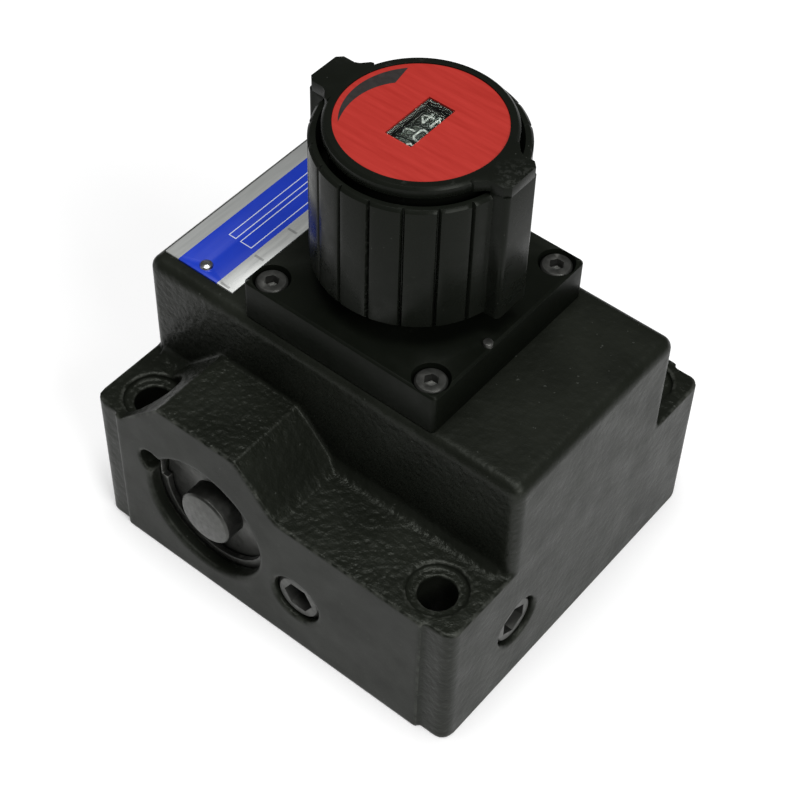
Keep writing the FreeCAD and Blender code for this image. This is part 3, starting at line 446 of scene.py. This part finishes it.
def flat_shape(name, outline, height, thickness, body, slot, material):
    """A thin printed shape: an outline in plan, raised by its thickness from a height."""
    work = bmesh.new()
    corners = [work.verts.new((x, y, height)) for x, y in outline]
    face = work.faces.new(corners)
    if face.normal.z < 0:
        face.normal_flip()
    grown = bmesh.ops.extrude_face_region(work, geom=[face])
    raised = [item for item in grown["geom"] if isinstance(item, bmesh.types.BMVert)]
    bmesh.ops.translate(work, verts=raised, vec=(0, 0, thickness))
    bmesh.ops.recalc_face_normals(work, faces=work.faces)
    mesh = bpy.data.meshes.new(name)
    work.to_mesh(mesh)
    work.free()
    return new_piece(name, mesh, body, slot, material)


def make_arrow(material):
    """The crescent arrow printed on the dial, thickening towards its head."""
    centre = KNOB_AXIS
    head, tail, outer = math.radians(138), math.radians(221), 16.4 * MM
    steps = 40
    rim = [(outer, head + (tail - head) * step / steps) for step in range(steps + 1)]
    inner = []
    throat = math.radians(153)
    for step in range(steps + 1):
        share = step / steps
        angle = tail + (throat - tail) * share
        inner.append((outer - 3.8 * MM * share ** 0.85, angle))
    outline = [(centre.x + r * math.cos(a), centre.y + r * math.sin(a)) for r, a in rim + inner[1:]]
    return flat_shape("dial_arrow", outline, LABEL_TOP, 0.02 * MM, "knob", "knob_plastic", material)


# Strokes of plain dial numerals in a box 1 wide and 1 high, as runs of (across, up).
NUMERALS = {
    0: [[(0.15, 0), (0.85, 0), (1, 0.15), (1, 0.85), (0.85, 1), (0.15, 1), (0, 0.85), (0, 0.15), (0.15, 0)]],
    1: [[(0.25, 0.8), (0.55, 1), (0.55, 0)]],
    2: [[(0, 0.8), (0.15, 1), (0.85, 1), (1, 0.8), (1, 0.62), (0, 0), (1, 0)]],
    3: [[(0, 1), (1, 1), (0.5, 0.58), (0.85, 0.55), (1, 0.4), (1, 0.15), (0.85, 0), (0.15, 0), (0, 0.15)]],
    4: [[(0.72, 0), (0.72, 1), (0.6, 1), (0, 0.32), (1, 0.32)]],
    5: [[(0.95, 1), (0.1, 1), (0.05, 0.55), (0.8, 0.6), (1, 0.42), (1, 0.15), (0.85, 0), (0.1, 0), (0, 0.1)]],
    6: [[(0.9, 1), (0.3, 0.9), (0, 0.45), (0, 0.15), (0.15, 0), (0.85, 0), (1, 0.15), (1, 0.4), (0.85, 0.55),
         (0.05, 0.5)]],
    7: [[(0, 1), (1, 1), (0.35, 0)]],
    8: [[(0.2, 0.53), (0.05, 0.7), (0.05, 0.87), (0.2, 1), (0.8, 1), (0.95, 0.87), (0.95, 0.7), (0.8, 0.53),
         (0.2, 0.53), (0, 0.38), (0, 0.13), (0.15, 0), (0.85, 0), (1, 0.13), (1, 0.38), (0.8, 0.53)]],
    9: [[(0.1, 0), (0.7, 0.1), (1, 0.55), (1, 0.85), (0.85, 1), (0.15, 1), (0, 0.85), (0, 0.6), (0.15, 0.45),
         (0.95, 0.5)]],
}


def make_numerals(wheel, body, shift, material):
    """Ten raised numerals round a wheel; shift turns them, in tenths of a turn."""
    low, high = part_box(wheel)
    centre = (low + high) / 2
    radius = (high.z - low.z) / 2
    wide, tall, stroke = 3.2 * MM, 2.6 * MM, 0.42 * MM
    work = bmesh.new()
    for digit, runs in NUMERALS.items():
        for run in runs:
            for start, end in zip(run, run[1:]):
                add_stroke(work, start, end, digit + shift, centre, radius, (wide, tall, stroke))
    bmesh.ops.recalc_face_normals(work, faces=work.faces)
    mesh = bpy.data.meshes.new(wheel + "_numerals")
    work.to_mesh(mesh)
    work.free()
    return new_piece(wheel + "_numerals", mesh, body, "bezel", material)


def add_stroke(work, start, end, place, centre, radius, sizes):
    """One straight stroke of a numeral, as a thin bar that follows the wheel's round face."""
    wide, tall, stroke = sizes
    first = Vector(((start[0] - 0.5) * wide, (start[1] - 0.5) * tall))
    last = Vector(((end[0] - 0.5) * wide, (end[1] - 0.5) * tall))
    along = (last - first).normalized() * stroke / 2
    side = Vector((-along.y, along.x))
    first, last = first - along, last + along
    pieces = max(1, math.ceil((last - first).length / (0.5 * MM)))
    rings = []
    for step in range(pieces + 1):
        spot = first.lerp(last, step / pieces)
        ring = []
        for corner, level in ((-side, -0.02), (side, -0.02), (side, 0.05), (-side, 0.05)):
            across, up = spot + corner
            angle = math.radians(36.0) * place + up / radius
            reach = radius + level * MM
            ring.append(work.verts.new((
                centre.x - reach * math.sin(angle), centre.y + across, centre.z + reach * math.cos(angle))))
        rings.append(ring)
    for before, after in zip(rings, rings[1:]):
        for corner in range(4):
            nearby = (corner + 1) % 4
            work.faces.new((before[corner], before[nearby], after[nearby], after[corner]))
    work.faces.new(rings[0])
    work.faces.new(rings[-1][::-1])


# ---- stage, light and camera ---------------------------------------------------------------

def make_stage():
    work = bmesh.new()
    bmesh.ops.create_grid(work, x_segments=2, y_segments=2, size=3.0)
    mesh = bpy.data.meshes.new("floor")
    work.to_mesh(mesh)
    work.free()
    floor = bpy.data.objects.new("floor", mesh)
    floor.location.z = BODY_LOW.z
    scene.collection.objects.link(floor)
    s = Shader("floor_white")
    mesh.materials.append(s.finish(Base_Color=rgb(0.84, 0.84, 0.84), Roughness=0.9,
                                   Emission_Color=rgb(1.0, 1.0, 1.0), Emission_Strength=0.22))


def area_light(name, place, size, power, tall=None):
    """A soft box that faces the middle of the object."""
    data = bpy.data.lights.new(name, "AREA")
    data.shape = "RECTANGLE"
    data.size = size
    data.size_y = tall or size
    data.energy = power
    light = bpy.data.objects.new(name, data)
    light.location = place
    aim = Vector((0, 0, 0.05)) - Vector(place)
    light.rotation_euler = aim.to_track_quat("-Z", "Y").to_euler()
    scene.collection.objects.link(light)


SKY_STRENGTH = 0.10
SOFT_BOXES = (("top_box", (0.05, -0.05, 1.60), 0.9, 22.0),       # name, place in m, width in m, power in W
              ("right_box", (1.50, -0.45, 1.20), 0.8, 17.0))
CAMERA_ANGLES = (37.688, 49.431, 1.943)         # azimuth, elevation and roll in degrees
CAMERA_TARGET = (1.96, -2.40, 40.0)             # mm
CAMERA_DISTANCE = 436.25                        # mm
CAMERA_LENS = 86.07                             # mm, on a 36 mm sensor


def make_light():
    world = bpy.data.worlds.new("studio")
    scene.world = world
    world.use_nodes = True
    background = world.node_tree.nodes["Background"]
    background.inputs[0].default_value = rgb(1.0, 1.0, 1.0)
    background.inputs[1].default_value = SKY_STRENGTH
    for name, place, width, power in SOFT_BOXES:
        area_light(name, place, width, power)


def make_camera():
    """The photograph's view: where the camera stands, its lens and its small roll."""
    azimuth, elevation, roll = (math.radians(angle) for angle in CAMERA_ANGLES)
    target = Vector(CAMERA_TARGET) * MM
    distance = CAMERA_DISTANCE * MM
    back = Vector((math.sin(azimuth) * math.cos(elevation), -math.cos(azimuth) * math.cos(elevation),
                   math.sin(elevation)))
    right = Vector((math.cos(azimuth), math.sin(azimuth), 0))
    up = back.cross(right)
    right, up = (right * math.cos(roll) + up * math.sin(roll), up * math.cos(roll) - right * math.sin(roll))
    data = bpy.data.cameras.new("camera")
    data.lens = CAMERA_LENS
    data.sensor_width = 36.0
    data.clip_start = 0.01
    camera = bpy.data.objects.new("camera", data)
    turn = Matrix((right, up, back)).transposed().to_4x4()
    camera.matrix_world = Matrix.Translation(target + back * distance) @ turn
    scene.collection.objects.link(camera)
    scene.camera = camera


# ---- build ---------------------------------------------------------------------------------

paint = casting_paint()
plate_paint = cover_paint()
oxide = black_oxide()
steel = bare_steel()
rubber = seal_rubber()
moulding = knob_plastic()
grey = moulded_grey("counter_grey", rgb(0.45, 0.45, 0.40), rgb(0.55, 0.55, 0.50))
wheel_black = moulded_grey("wheel_black", rgb(0.060, 0.070, 0.060), rgb(0.085, 0.096, 0.084))
bezel_grey = moulded_grey("bezel_grey", rgb(0.10, 0.11, 0.10), rgb(0.16, 0.17, 0.155))
numeral_white = moulded_grey("numeral_white", rgb(0.50, 0.51, 0.48), rgb(0.66, 0.67, 0.63))

make_casting(paint)
eased("cover_plate", "valve", "painted_cover", plate_paint, 0.22)
eased("end_plug", "valve", "black_steel", oxide, 0.15)
eased("retaining_ring", "valve", "black_steel", oxide, 0.12)
eased("front_pipe_plug", "valve", "black_steel", oxide, 0.15)
eased("side_pipe_plug", "valve", "black_steel", oxide, 0.15)
eased("cover_screws", "valve", "black_steel", oxide, 0.12)
eased("nameplate", "valve", "nameplate_foil", nameplate_print(), 0.08)
eased("stop_pin", "valve", "steel", oxide, 0.2)
eased("knob_grip", "knob", "knob_plastic", moulding, 0.18)
eased("dial_cap", "knob", "knob_plastic", moulding, 0.25)
keep("dial_label", dial_red())
make_arrow(dial_ink())
keep("window_bezel", bezel_grey)
keep("window_lens", lens_plastic())
keep("nameplate_rivets", steel)
for name, body, shift in (("counter_wheel_units", "units", -3.65), ("counter_wheel_tens", "tens", -0.467),
                          ("counter_wheel_hundreds", "hundreds", -0.6)):
    keep(name, wheel_black)
    make_numerals(name, body, shift, numeral_white)
for name in ("cover_seal", "inlet_port_seal", "outlet_port_seal", "sleeve_seal", "spindle_seal", "end_plug_seal"):
    keep(name, rubber)
for name in ("throttle_sleeve", "spring_seat", "throttle_spring", "spindle_gland", "compensator_sleeve",
             "compensator_spring", "spindle", "throttle_spool", "compensator_spool", "counter_axle",
             "transfer_axle"):
    keep(name, steel)
for name in ("counter_fixed_gear", "counter_frame", "counter_drive_shaft", "transfer_pinion_low",
             "transfer_pinion_high"):
    keep(name, grey)
keep("knob_set_screw", oxide)

scene.view_settings.view_transform = "Standard"
make_stage()
make_light()
make_camera()
